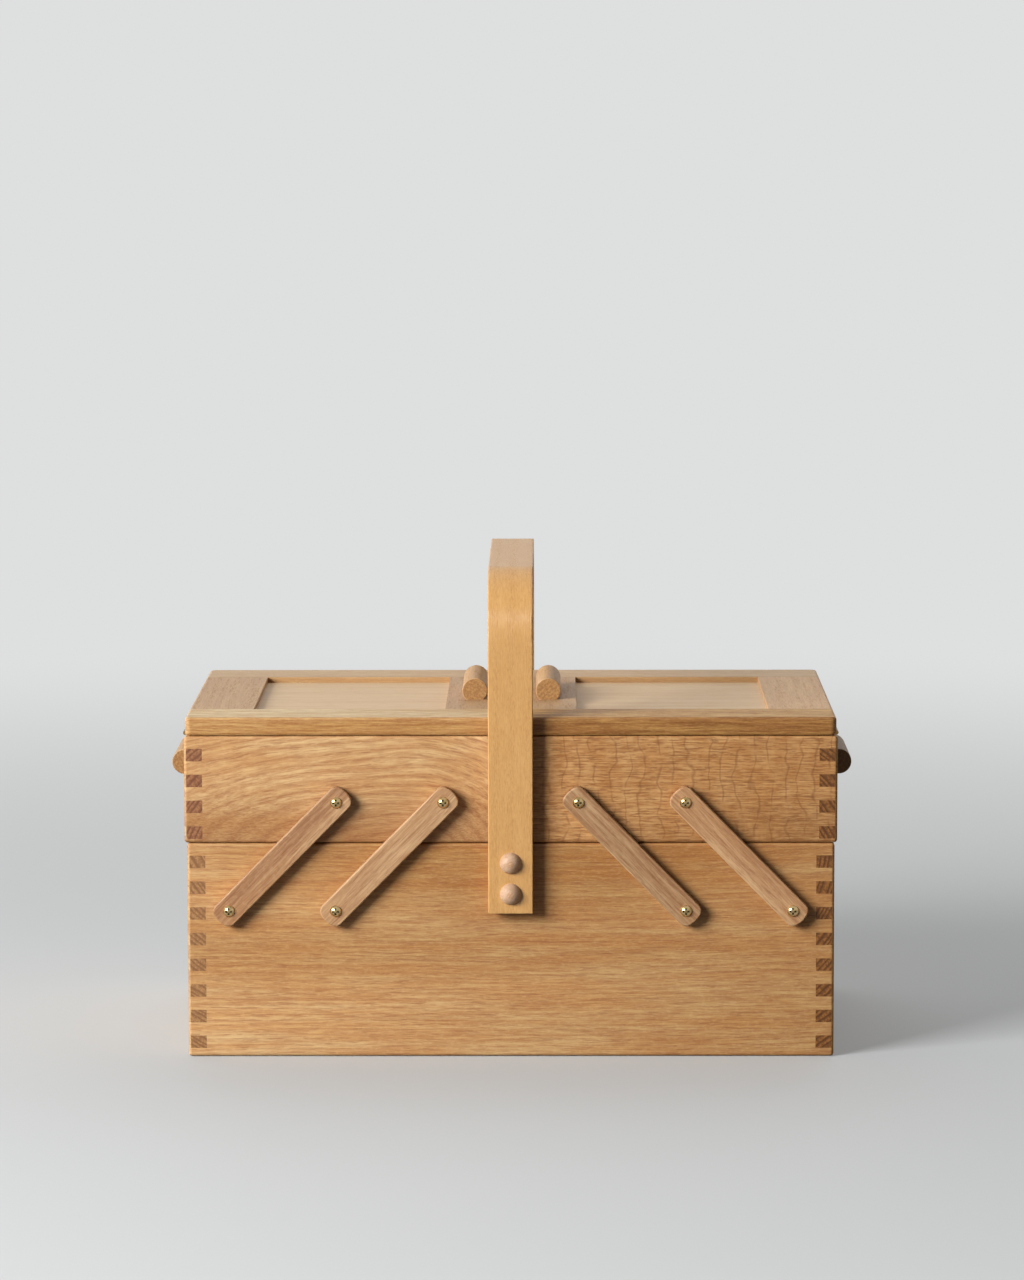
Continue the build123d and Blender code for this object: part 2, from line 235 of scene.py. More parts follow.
# Oak sawn square on to the rings: fine straight lines crossed by wavy outlines of ray.
QUARTERED_OAK = replace(HEART_OAK, name="quartered_oak", pale="cb9d66", dark="935a2a", warm="ba8247",
                        ring=1.3, ring_depth=0.2, wander=0.8, drift=(14.0, 24.0), drift_depth=0.45,
                        fleck=(3.5, 16.0, 1.5), fibre=(6.0, 0.9), fibre_depth=0.7, pore_size=(7.0, 0.9),
                        pore_depth=0.5, ray_edge_depth=0.45)
# The members of the lids' frames: a quieter oak, dull tan, with little figure.
FRAME_OAK = replace(OAK, name="frame_oak", pale="d3ad80", dark="b08562", warm="c59c74", deep="b88a60",
                    pore="8f6545", drift_depth=0.5, strand_depth=0.35, fibre_depth=0.35,
                    pore_depth=0.15)
# The same from a creamier board, for the back rails.
CREAM_OAK = replace(FRAME_OAK, name="cream_oak", pale="d5b68b", dark="b28c6a", warm="c7a47e",
                    deep="b0885c")
# A thin sliced panel of straight-grained oak, sanded finer than the frame.
PANEL_OAK = replace(OAK, name="panel_oak", pale="dcbf99", dark="ccaa80", warm="d3b189", deep="c49c6c",
                    pore="b78f5f", ring=2.2, ring_depth=0.15, strand_depth=0.25, fibre_depth=0.3,
                    pore_depth=0.15)
# Oak strips for the arms: pinker and greyer, with one broad darker stripe.
ARM_OAK = replace(OAK, name="arm_oak", pale="cfa87d", dark="98663f", warm="b88a60", deep="946240",
                  ring=3.4, ring_depth=0.2, drift=(90.0, 5.0), strand=(50.0, 2.4), strand_depth=0.5)
# Half-round oak dowel for the pulls, with pores that speckle its ends.
PULL_OAK = replace(OAK, name="pull_oak", pale="cda87a", dark="a97c50", warm="bb9060", end="b28957",
                   end_dark="825735", ring=1.9, fibre_depth=0.3, pore_depth=0.15,
                   end_ring_depth=0.3, end_speck_depth=0.5, index=1.3)
# Steam-bent beech: even honey colour full of short fine flecks.
BENT_BEECH = Wood("bent_beech", pale="dba969", dark="c0884a", warm="d09a58", deep="c88f4d",
                  pore="b27a3e", ray="e6ba7c", end="b4864f", end_dark="94683a", ring=4.0,
                  ring_depth=0.05, wander=1.5, drift=(30.0, 9.0), drift_depth=0.35,
                  strand=(16.0, 1.2), strand_depth=0.12, fibre=(4.5, 0.6), fibre_depth=0.4,
                  pore_size=(2.6, 0.5), pore_depth=0.3, fleck=(1.8, 4.0, 0.45), fleck_depth=0.15,
                  roughness=0.32, index=1.5, edge_wear=0.0)
# Turned birch for the pegs: pale pinkish wood with a fine speckle.
TURNED_BIRCH = Wood("turned_birch", pale="d2b193", dark="b48b6a", warm="c39c7b", deep="bf946e",
                    pore="a0754f", ray="e2c8ac", end="cfa884", end_dark="b3855f", ring=1.3,
                    ring_depth=0.1, wander=0.6, drift=(12.0, 4.0), strand=(6.0, 1.0), strand_depth=0.2,
                    fibre=(3.0, 0.6), pore_size=(1.5, 0.4), pore_depth=0.2, roughness=0.42)
# Birch-faced plywood for the base panels: a pale rotary veneer with wide wavy figure.
BIRCH_PLY = Wood("birch_plywood", pale="dcc29b", dark="ccab7d", warm="d3b487", deep="c9a877",
                 pore="b8925f", ray="e2cca9", end="b08c61", end_dark="8c6a43", ring=9.0, ring_depth=0.4,
                 wander=7.0, strand_depth=0.2, fibre_depth=0.2, pore_depth=0.1, fleck_depth=0.0,
                 roughness=0.55)

# Turned brass screws and washers: warm yellow, polished by the lathe.
TURNED_BRASS = Metal("turned_brass", bright="cdb280", dull="a1854f", film=2.0, roughness=0.22)
# Drawn brass strip for the hinges: a little duller, and darker still as painted shade, for they sit in
# shade.
DRAWN_BRASS = Metal("drawn_brass", bright="9c7f4a", dull="6f562d", film=3.5, roughness=0.4)


# ------------------------------------------------------------------ recipes
class WoodRecipe:
    """The material of one straight piece of one timber."""

    seed_step: Triple = (311.7, 127.3, 89.1)  # how far apart two seeds' patterns lie, mm
    wander_reach: Pair = (110.0, 34.0)        # of the rings' straying: along and across, mm
    wander_gain: float = 2.0                  # from a cloud's spread to the full straying
    least_radius: float = 20.0                # of the circle on which the growth is laid out, mm
    weather_pace: float = 0.23                # how fast good years and lean ones take turns
    weather_gain: float = 2.2                 # how far they differ
    early_wood: Pair = (0.55, 0.7)            # when in a year it has faded, and when the next sets in
    ray_edge_width: float = 0.11              # of the wavy lines, as a share of their spacing
    ray_edge_sway: float = 2.0                # how far they stray, in spacings
    pore_bar: Pair = (0.6, 0.5)               # what a cloud has to pass to be a pore: late, early wood
    pore_slope: float = 0.1                   # how far past it the bottom of the pore lies
    pore_roughness: float = 0.16              # how much rougher it is there
    speck_size: Pair = (1.5, 1.1)             # of the cut pores in end grain, mm
    worn_width: float = 1.1                   # of the paler edges, worn and with a painted highlight, mm
    relief: Pair = (0.3, 0.0001)              # of pores and fibres: strength, and height in metres
    # Where each of these starts to show and where it is full.
    drift_mask: Pair = (0.35, 0.65)
    strand_mask: Pair = (0.4, 0.7)
    fibre_mask: Pair = (0.36, 0.68)
    ray_mask: Pair = (0.5, 0.66)
    ray_edge_mask: Pair = (0.34, 0.54)
    speck_mask: Pair = (0.4, 0.6)
    end_mask: Pair = (0.92, 0.985)

    def __init__(self, wood: Wood, cut: Cut, piece: bpy.types.Object) -> None:
        """Starts the material of a piece."""
        self.wood, self.cut = wood, cut
        self.material = start_material(f"{wood.name}_{piece.name}")
        self.tree = self.material.node_tree
        low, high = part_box(piece.name)
        self.heart = (Vector(low) + Vector(high)) / 2 + Vector(cut.heart) * MM
        self.turn = Euler([radians(angle) for angle in cut.grain])
        inward = self.turn.to_matrix().transposed()
        corners = [inward @ (vertex.co - self.heart) / MM for vertex in piece.data.vertices]
        self.span = [(min(reach), max(reach)) for reach in zip(*corners)]
        self.place = self.lay_in_log()
        self.radius = self.from_heart()
        self.layers = self.lay_in_layers()

    def add(self, kind: str, inputs: Inputs, output: int | str = 0, **settings: object) -> Socket:
        """Adds a node to this material's tree."""
        return add_node(self.tree, kind, inputs, output, **settings)

    def reckon(self, operation: str, *values: Value) -> Socket:
        """Adds a node that does one sum, such as MULTIPLY, with its values in their order."""
        return self.add("Math", dict(enumerate(values)), operation=operation)

    def axes(self, vector: Socket) -> bpy.types.NodeOutputs:
        """Takes a vector apart into X, Y and Z."""
        return self.add("SeparateXYZ", {0: vector}).node.outputs

    def lay_in_log(self) -> Socket:
        """Gives each point its place in the log: X along the fibres, Y and Z from the heart, in mm."""
        point = self.add("TexCoord", {}, "Object")
        return self.add("Mapping", {"Vector": point, "Location": self.heart, "Rotation": self.turn,
                                    "Scale": (MM, MM, MM)}, vector_type="TEXTURE")

    def cloud(
        self, reach: Pair | Triple, detail: float = 2.0, output: str = "Fac",
        roughness: float = 0.5, ground: Socket | None = None
    ) -> Socket:
        """Soft random patches, drawn out along the fibres.

        Args:
            reach: their size in mm along the fibres and across them, or along all three axes.
            detail: how many finer layers they have.
            output: Fac for one number, Color for three.
            roughness: how strong the finer layers are.
            ground: the places in mm that they lie on, by default those in the log.

        Returns:
            The patches, from 0 to 1 about a middle of 0.5.
        """
        sizes = (reach[0], reach[1], reach[-1])
        shifted = self.add("VectorMath", {0: ground or self.place,
                                          1: [self.cut.seed * step for step in self.seed_step]},
                           operation="ADD")
        scaled = self.add("VectorMath", {0: shifted, 1: [1 / size for size in sizes]},
                          operation="MULTIPLY")
        return self.add("TexNoise", {"Vector": scaled, "Scale": 1.0, "Detail": detail,
                                     "Roughness": roughness}, output)

    def from_heart(self) -> Socket:
        """How far each point lies from the heart, in mm, with the log's taper and straying."""
        stray = self.cloud(self.wander_reach, detail=3.0, output="Color")
        sway = self.wander_gain * self.wood.wander
        bent = self.add("VectorMath", {0: stray, 1: (0.0, sway, sway), 2: self.place},
                        operation="MULTIPLY_ADD")
        parts = self.axes(bent)
        before = self.reckon("MULTIPLY", parts["X"], self.cut.taper[0])
        after = self.reckon("MULTIPLY", parts["X"], self.cut.taper[1])
        along = self.reckon("MAXIMUM", before, after)
        spoke = self.add("CombineXYZ", {"X": along, "Y": parts["Y"], "Z": parts["Z"]})
        return self.add("VectorMath", {0: spoke}, "Value", operation="LENGTH")

    def lay_in_layers(self) -> Socket:
        """Gives each point its place in the growth, in mm: X along the fibres, Y outwards, Z round."""
        out_y, out_z = (sum(span) / 2 for span in self.span[1:])
        distance = max(self.least_radius, Vector((out_y, out_z)).length)
        along = self.axes(self.place)["X"]
        outwards = self.add("VectorMath", {0: self.place, 1: (0.0, out_y, out_z)}, "Value",
                            operation="DOT_PRODUCT")
        aside = self.add("VectorMath", {0: self.place, 1: (0.0, -out_z, out_y)}, "Value",
                         operation="DOT_PRODUCT")
        angle = self.reckon("ARCTAN2", aside, outwards)
        arc = self.reckon("MULTIPLY", angle, distance)
        return self.add("CombineXYZ", {"X": along, "Y": self.radius, "Z": arc})

    def rings(self) -> Socket:
        """The year rings: 1 in early wood, 0 in late wood."""
        years = self.reckon("MULTIPLY", self.radius, 1 / self.wood.ring)
        weather = self.add("TexNoise", {"W": years, "Scale": self.weather_pace, "Detail": 2.0},
                           noise_dimensions="1D")
        count = self.reckon("MULTIPLY_ADD", weather, self.weather_gain, years)
        year = self.reckon("FRACT", count)
        faded, next_one = self.early_wood
        closing = self.spread(year, (faded, 0.0))
        opening = self.spread(year, (next_one, 1.0))
        return self.reckon("MAXIMUM", closing, opening)

    def rays(self) -> Socket:
        """Ribbons of ray, which stand on edge round the log: 1 in a ribbon."""
        ribbons = self.cloud(self.wood.fleck, detail=1.0, ground=self.layers)
        return self.spread(ribbons, self.ray_mask)

    def ray_edges(self) -> Socket:
        """Thin wavy lines, broken here and there, where rays cross the fibres: 1 on a line."""
        spacing, reach = self.wood.ray_edge
        sway = self.cloud((2 * spacing, reach), ground=self.layers)
        along = self.axes(self.layers)["X"]
        steps = self.reckon("MULTIPLY", along, 1 / spacing)
        count = self.reckon("MULTIPLY_ADD", sway, self.ray_edge_sway, steps)
        phase = self.reckon("SUBTRACT", self.reckon("FRACT", count), 0.5)
        line = self.spread(self.reckon("ABSOLUTE", phase), (self.ray_edge_width, 0.0))
        whole = self.spread(self.cloud((spacing, reach / 2)), self.ray_edge_mask)
        return self.reckon("MULTIPLY", line, whole)

    def pores(self, early: Socket) -> Socket:
        """Short open pores, most of them in the early wood: 1 in a pore."""
        spots = self.cloud(self.wood.pore_size, ground=self.layers)
        late_bar, early_bar = self.pore_bar
        bar = self.add("MapRange", {"Value": early, "To Min": late_bar, "To Max": early_bar})
        over = self.reckon("SUBTRACT", spots, bar)
        return self.spread(over, (0.0, self.pore_slope))

    def end_grain(self) -> Socket:
        """1 where the fibres are cut across."""
        normal = self.add("TexCoord", {}, "Normal")
        axis = self.turn.to_matrix() @ Vector((1, 0, 0))
        facing = self.add("VectorMath", {0: normal, 1: axis}, "Value", operation="DOT_PRODUCT")
        square = self.reckon("ABSOLUTE", facing)
        return self.spread(square, self.end_mask)

    def worn_edges(self) -> Socket:
        """1 along the piece's outer edges, 0 a little way in."""
        middle = [sum(span) / 2 for span in self.span]
        half = [(span[1] - span[0]) / 2 for span in self.span]
        centred = self.add("VectorMath", {0: self.place, 1: middle}, operation="SUBTRACT")
        off = self.add("VectorMath", {0: centred}, operation="ABSOLUTE")
        depth = self.add("VectorMath", {0: half, 1: off}, operation="SUBTRACT")
        parts = self.axes(depth)
        near = [self.spread(part, (self.worn_width, 0.0)) for part in parts]
        edge = self.reckon("MULTIPLY", near[0], near[1])
        for one, other in ((near[1], near[2]), (near[0], near[2])):
            pair = self.reckon("MULTIPLY", one, other)
            edge = self.reckon("MAXIMUM", edge, pair)
        return edge

    def spread(self, value: Socket, ends: Pair) -> Socket:
        """Stretches a value so that it runs softly from 0 at the first end to 1 at the second."""
        return self.add("MapRange", {"Value": value, "From Min": ends[0], "From Max": ends[1]},
                        interpolation_type="SMOOTHSTEP")

    def heartwood(self) -> Socket:
        """How far the board has run into the heartwood's tone, by its core and a streak, and along its
        fibres as painted falloff of the light.
        """
        along = self.axes(self.place)["X"]
        first, last = self.cut.heartwood
        start, stop = self.span[0]
        ends = self.add("MapRange", {"Value": along, "From Min": start, "From Max": stop,
                                     "To Min": first, "To Max": last})
        inside, outside, depth = self.cut.core
        spoke = self.add("VectorMath", {0: self.place, 1: (self.cut.core_taper, 1.0, 1.0)},
                         operation="MULTIPLY")
        reach = self.add("VectorMath", {0: spoke}, "Value", operation="LENGTH")
        core = self.reckon("MULTIPLY", self.spread(reach, (outside, inside)), depth)
        tone = self.reckon("MAXIMUM", ends, core)
        height, half, depth = self.cut.streak
        if depth == 0:
            return tone
        across = self.add("VectorMath", {0: self.place, 1: (0.0, 0.0, height)}, operation="SUBTRACT")
        near = self.spread(self.reckon("ABSOLUTE", self.axes(across)["Z"]), (half, 0.0))
        streak = self.reckon("MULTIPLY", near, depth)
        return self.reckon("MAXIMUM", tone, streak)

    def mix(self, amount: Socket, depth: float, ground: object, over: object) -> Socket:
        """Lays one colour over another.

        Args:
            amount: where it lies, from 0 to 1.
            depth: how much of it shows at 1.
            ground: the colour below.
            over: the colour on top.

        Returns:
            The mixed colour.
        """
        factor = self.reckon("MULTIPLY", amount, depth)
        return self.add("Mix", {0: factor, 6: ground, 7: over}, 2, data_type="RGBA")

    def build(self) -> bpy.types.Material:
        """Puts the timber's layers together.

        Returns:
            The finished material.
        """
        wood, tone = self.wood, self.cut.tone
        early = self.rings()
        pores = self.pores(early)
        drift = self.spread(self.cloud(wood.drift), self.drift_mask)
        strands = self.cloud(wood.strand, detail=3.0, ground=self.layers)
        strands = self.spread(strands, self.strand_mask)
        fibres = self.cloud(wood.fibre, detail=4.0, roughness=0.6, ground=self.layers)
        fibres = self.spread(fibres, self.fibre_mask)
        body = self.mix(drift, wood.drift_depth, linear(wood.pale, tone), linear(wood.warm, tone))
        body = self.mix(early, wood.ring_depth, body, linear(wood.dark, tone))
        body = self.mix(strands, wood.strand_depth, body, linear(wood.dark, tone))
        body = self.mix(fibres, wood.fibre_depth, body, linear(wood.dark, tone))
        # heartwood tone, and painted falloff of the light along the fibres
        shade = [deep / warm for deep, warm in zip(linear(wood.deep), linear(wood.warm))]
        body = self.add("Mix", {0: self.heartwood(), 6: body, 7: shade}, 2, data_type="RGBA",
                        blend_type="MULTIPLY")
        if wood.fleck_depth > 0:
            body = self.mix(self.rays(), wood.fleck_depth, body, linear(wood.ray, tone))
        if wood.ray_edge_depth > 0:
            body = self.mix(self.ray_edges(), wood.ray_edge_depth, body, linear(wood.pore, tone))
        body = self.mix(pores, wood.pore_depth, body, linear(wood.pore, tone))
        # paler outer edges: handling wear, and a painted highlight along the arrises
        body = self.mix(self.worn_edges(), wood.edge_wear, body, linear(wood.ray, tone))
        cut_face = self.mix(early, wood.end_ring_depth, linear(wood.end, tone),
                            linear(wood.end_dark, tone))
        speck = self.spread(self.cloud(self.speck_size, detail=3.0), self.speck_mask)
        cut_face = self.mix(speck, wood.end_speck_depth, cut_face, linear(wood.end_dark, tone))
        colour = self.mix(self.end_grain(), 1.0, body, cut_face)
        gloss = self.add("MapRange", {"Value": pores, "To Min": wood.roughness,
                                      "To Max": wood.roughness + self.pore_roughness})
        height = self.reckon("MULTIPLY_ADD", pores, -1.0, fibres)
        strength, depth = self.relief
        bump = self.add("Bump", {"Strength": strength, "Distance": depth, "Height": height})
        surface = self.add("BsdfPrincipled", {"Base Color": colour, "Roughness": gloss, "Normal": bump,
                                              "IOR": wood.index})
        end_material(self.tree, surface)
        return self.material


@dataclass(frozen=True)
class Bend:
    """The line of a bent strap, in metres: two legs up Z, an arc each, and a level top along Y."""

    middle: float              # from the middle of the strap to the arcs' centres, along Y
    height: float              # of the arcs' centres
    radius: float              # from there to the middle of the strap's thickness
    thickness: float
    foot: float                # height of the ends of the legs


class BentWoodRecipe(WoodRecipe):
    """The material of a strap that was bent with its fibres running round."""

    end_skin: float = 0.05     # how deep the end grain is taken to lie, mm

    def __init__(self, wood: Wood, cut: Cut, piece: bpy.types.Object, bend: Bend) -> None:
        """Starts the material of a bent piece."""
        self.bend = bend
        super().__init__(wood, cut, piece)
        reach = self.half_length() / MM
        width = (self.span[0][1] - self.span[0][0]) / 2
        half_thickness = bend.thickness / 2 / MM
        self.span = [(-reach, reach), (-width, width), (-half_thickness, half_thickness)]
        self.span = [(low - off, high - off) for (low, high), off in zip(self.span, cut.heart)]

    def half_length(self) -> float:
        """From the middle of the top to the end of a leg, round the bend, in metres."""
        bend = self.bend
        return bend.middle + bend.radius * pi / 2 + bend.height - bend.foot

    def lay_in_log(self) -> Socket:
        """X runs round the strap from the middle of its top, Y across it and Z out of it, in mm."""
        bend = self.bend
        point = self.add("TexCoord", {}, "Object")
        parts = self.axes(point)
        away = self.reckon("ABSOLUTE", parts["Y"])
        out = self.reckon("SUBTRACT", away, bend.middle)
        up = self.reckon("SUBTRACT", parts["Z"], bend.height)
        out_side = self.reckon("MAXIMUM", out, 0.0)
        up_side = self.reckon("MAXIMUM", up, 0.0)
        inward = self.reckon("MINIMUM", out, 0.0)
        downward = self.reckon("MINIMUM", up, 0.0)
        angle = self.reckon("ARCTAN2", out_side, up_side)
        arc = self.reckon("MULTIPLY", angle, bend.radius)
        run = self.reckon("ADD", arc, inward)
        run = self.reckon("SUBTRACT", run, downward)
        run = self.reckon("ADD", run, bend.middle)
        way = self.reckon("SIGN", parts["Y"])
        path = self.reckon("MULTIPLY", run, way)
        reach = self.add("CombineXYZ", {"X": out_side, "Y": up_side})
        spoke = self.add("VectorMath", {0: reach}, "Value", operation="LENGTH")
        proud = self.reckon("SUBTRACT", spoke, bend.radius)
        laid = self.add("CombineXYZ", {"X": path, "Y": parts["X"], "Z": proud})
        return self.add("Mapping", {"Vector": laid, "Location": [-off for off in self.cut.heart],
                                    "Scale": (1 / MM, 1 / MM, 1 / MM)}, vector_type="POINT")

    def end_grain(self) -> Socket:
        """1 on the ends of the legs."""
        along = self.reckon("ABSOLUTE", self.axes(self.place)["X"])
        return self.reckon("GREATER_THAN", along, self.half_length() / MM - self.end_skin)


class MetalRecipe:
    """The material of the brass fittings."""

    film_roughness: float = 0.14             # how much rougher the film is
    film_mask: Pair = (0.45, 0.7)            # where it starts to show and where it is full
    soil_mask: Pair = (0.8, 0.45)            # the same for the painted shade, by how open a spot lies
    relief: Pair = (0.12, 0.00003)           # of polishing marks: strength, and height in metres

    def __init__(self, metal: Metal) -> None:
        """Starts the material of one metal."""
        self.metal = metal
        self.material = start_material(metal.name)
        self.tree = self.material.node_tree

    def build(self) -> bpy.types.Material:
        """Lays patches of film, painted shade in the slots and polishing marks over the metal.

        Returns:
            The finished material.
        """
        metal, tree = self.metal, self.tree
        point = add_node(tree, "TexCoord", {}, "Object")
        patch = add_node(tree, "TexNoise", {"Vector": point, "Scale": 1 / (metal.film * MM),
                                            "Detail": 3.0})
        start, full = self.film_mask
        film = add_node(tree, "MapRange", {"Value": patch, "From Min": start, "From Max": full})
        colour = add_node(tree, "Mix", {0: film, 6: linear(metal.bright), 7: linear(metal.dull)}, 2,
                          data_type="RGBA")
        # painted shade in the slots and hollows, by how enclosed a spot is
        open_sky = add_node(tree, "AmbientOcclusion", {"Distance": metal.soil_reach * MM}, "AO",
                            samples=6, only_local=True)
        start, full = self.soil_mask
        slot = add_node(tree, "MapRange", {"Value": open_sky, "From Min": start, "From Max": full})
        colour = add_node(tree, "Mix", {0: slot, 6: colour, 7: linear(metal.soil)}, 2, data_type="RGBA")
        gloss = add_node(tree, "MapRange", {"Value": film, "To Min": metal.roughness,
                                            "To Max": metal.roughness + self.film_roughness})
        marks = add_node(tree, "TexNoise", {"Vector": point, "Scale": 1 / (metal.scratch * MM),
                                            "Detail": 2.0})
        strength, depth = self.relief
        bump = add_node(tree, "Bump", {"Strength": strength, "Distance": depth, "Height": marks})
        surface = add_node(tree, "BsdfPrincipled", {"Base Color": colour, "Metallic": 1.0,
                                                    "Roughness": gloss, "Normal": bump})
        end_material(tree, surface)
        return self.material


# ------------------------------------------------------------------ sub-assemblies
class Workshop:
    """What every sub-assembly shares: the frame's pieces, and how a piece is given its finish."""

    def __init__(self, frame: dict) -> None:
        """Keeps the frame and makes the two brasses, which all fittings share."""
        self.nodes = frame["nodes"]
        self.brass = {metal: MetalRecipe(metal).build() for metal in (TURNED_BRASS, DRAWN_BRASS)}

    def paint(self, name: str, material: bpy.types.Material) -> None:
        """Puts a material on every slot of a piece."""
        for slot in self.nodes[name].material_slots:
            slot.material = material
        LOG.info("%s: %s", name, material.name)

    def timber(self, name: str, wood: Wood, cut: Cut) -> None:
        """Dresses a straight piece in its own cut of a timber."""
        self.paint(name, WoodRecipe(wood, cut, self.nodes[name]).build())

    def fitting(self, name: str, metal: Metal) -> None:
        """Dresses a group of fittings in a metal."""
        self.paint(name, self.brass[metal])


@dataclass
class Carcass:
    """The box: four comb-jointed boards round a base panel."""

    shop: Workshop
    # the front deepens towards its right end: painted falloff of the window lamp's light
    front: Cut = Cut(Grain.ALONG_X.value, heart=(20.0, 90.0, 150.0), taper=(-0.12, 0.2),
                     heartwood=(0.0, 0.68), core=(138.0, 206.0, 0.95), core_taper=0.6,
                     streak=(-148.0, 45.0, 0.65), tone=1.15, seed=1)
    back: Cut = Cut(Grain.ALONG_X.value, heart=(0.0, -80.0, 160.0), seed=2, tone=0.97)
    left: Cut = Cut(Grain.ALONG_Y.value, heart=(70.0, 0.0, 90.0), seed=3, tone=1.02)
    right: Cut = Cut(Grain.ALONG_Y.value, heart=(-70.0, 0.0, 60.0), seed=4, tone=0.96)
    base: Cut = Cut(Grain.ALONG_X.value, heart=(0.0, 20.0, -55.0), seed=5)

    def dress(self) -> None:
        """Gives each board its timber and the fittings their brass."""
        boards = {"front": (OAK, self.front), "back": (OAK, self.back),
                  "left": (PALE_END_OAK, self.left), "right": (HEART_OAK, self.right)}
        for board, (wood, cut) in boards.items():
            self.shop.timber(f"box_{board}_board", wood, cut)
        self.shop.timber("box_base_panel", BIRCH_PLY, self.base)
        self.shop.fitting("box_pivot_screws", TURNED_BRASS)
        self.shop.fitting("box_pivot_washers", TURNED_BRASS)


@dataclass
class Tray:
    """A tray, its end pull and the fittings that hold it to its arms and lid."""

    shop: Workshop
    side: Side
    wood: Wood
    front_wood: Wood
    front: Cut
    others_seed: float         # of the patterns on all but the front board
    pull_tone: float = 0.83    # the end pulls are darker than the lids'; a lower value paints the shade a pull lies in

    def dress(self) -> None:
        """Gives each board its timber and the fittings their brass."""
        word, way, seed = self.side.word, self.side.value, self.others_seed
        self.shop.timber(f"{word}_tray_front_board", self.front_wood, self.front)
        self.shop.timber(f"{word}_tray_back_board", self.wood,
                         Cut(Grain.ALONG_X.value, heart=(20.0 * way, -60.0, 95.0), seed=seed + 1))
        self.shop.timber(f"{word}_tray_inner_board", self.wood,
                         Cut(Grain.ALONG_Y.value, heart=(60.0 * way, 0.0, 70.0), seed=seed + 2))
        self.shop.timber(f"{word}_tray_outer_board", self.wood,
                         Cut(Grain.ALONG_Y.value, heart=(-60.0 * way, 0.0, -50.0), tone=0.94,
                             seed=seed + 3))
        self.shop.timber(f"{word}_tray_base_panel", BIRCH_PLY,
                         Cut(Grain.ALONG_X.value, heart=(0.0, 15.0, -45.0), seed=seed + 4))
        self.shop.timber(f"{word}_tray_pull", PULL_OAK,
                         Cut(Grain.ALONG_Y.value, heart=(-18.0 * way, 0.0, 12.0), seed=seed + 5,
                             tone=self.pull_tone))
        for fitting in ("tray_pull_screws", "tray_pivot_screws", "tray_pivot_washers"):
            self.shop.fitting(f"{word}_{fitting}", TURNED_BRASS)
        for fitting in ("tray_hinge_leaves", "tray_hinge_screws", "hinge_pins"):
            self.shop.fitting(f"{word}_{fitting}", DRAWN_BRASS)


@dataclass
class Lid:
    """A framed lid: two rails, two stiles, a panel, and a half-round pull."""

    shop: Workshop
    side: Side
    seed: float
    woods: dict[str, Wood] = field(default_factory=dict)    # of the members that aren't FRAME_OAK
    tones: dict[str, float] = field(default_factory=dict)   # of the members that differ in tone; the front rails' is raised as painted sheen on their tops
    rail_heart: Triple = (0.0, -100.0, 4.0)
    rail_core: Pair = (83.6, 86.0)   # where the deeper tone on the rails' front faces, which keeps the painted sheen to the tops, ends and has faded
    front_core: float = 0.74         # how deep that is on the front rail
    back_core: float = 1.0           # and in the back one

    def dress(self) -> None:
        """Gives each member of the frame its timber and the fittings their brass."""
        word, way = self.side.word, self.side.value
        rail = Cut(Grain.ALONG_X.value, heart=self.rail_heart)
        cuts = {
            "front_rail": replace(rail, core=(*self.rail_core, self.front_core)),
            "back_rail": replace(rail, core=(*self.rail_core, self.back_core)),
            "inner_stile": Cut(Grain.ALONG_Y.value, heart=(35.0 * way, 0.0, -70.0)),
            "outer_stile": Cut(Grain.ALONG_Y.value, heart=(-30.0 * way, 0.0, -75.0)),
        }
        for step, (member, cut) in enumerate(cuts.items()):
            self.shop.timber(f"{word}_lid_{member}", self.woods.get(member, FRAME_OAK),
                             replace(cut, seed=self.seed + step, tone=self.tones.get(member, 1.0)))
        self.shop.timber(f"{word}_lid_panel", PANEL_OAK,
                         Cut(Grain.ALONG_X.value, heart=(0.0, 160.0, -40.0), seed=self.seed + 5,
                             tone=self.tones.get("panel", 1.0)))
        self.shop.timber(f"{word}_lid_pull", PULL_OAK,
                         Cut(Grain.ALONG_Y.value, heart=(14.0 * way, 0.0, -16.0), seed=self.seed + 6))
        self.shop.fitting(f"{word}_lid_pull_screws", TURNED_BRASS)
        for fitting in ("lid_hinge_leaves", "lid_hinge_screws"):
            self.shop.fitting(f"{word}_{fitting}", DRAWN_BRASS)


@dataclass
class Arms:
    """The four swing arms of one side."""

    shop: Workshop
    side: Side
    seed: float
    lean: float = 45.5               # degrees between the arms and the floor
    tones: dict[str, float] = field(default_factory=dict)   # of the arms that differ in tone
    striped: str = "front_outer"     # the arm that was sawn along the edge of the heartwood
    stripe_heart: Triple = (-14.0, 2.0, 14.0)
    stripe_core: Triple = (18.0, 24.0, 0.5)

    def dress(self) -> None:
        """Gives each arm its timber, with the fibres along it."""
        turn = (0.0, self.lean * self.side.value, 0.0)
        hearts = {"front_outer": (30.0, 60.0, 20.0), "front_inner": (-40.0, 80.0, -30.0),
                  "back_outer": (30.0, -70.0, 10.0), "back_inner": (-30.0, -60.0, 25.0)}
        for step, (arm, heart) in enumerate(hearts.items()):
            cut = Cut(turn, heart, seed=self.seed + step, tone=self.tones.get(arm, 1.0))
            if arm == self.striped:
                cut = replace(cut, heart=self.stripe_heart, core=self.stripe_core)
            self.shop.timber(f"{self.side.word}_{arm}_arm", ARM_OAK, cut)


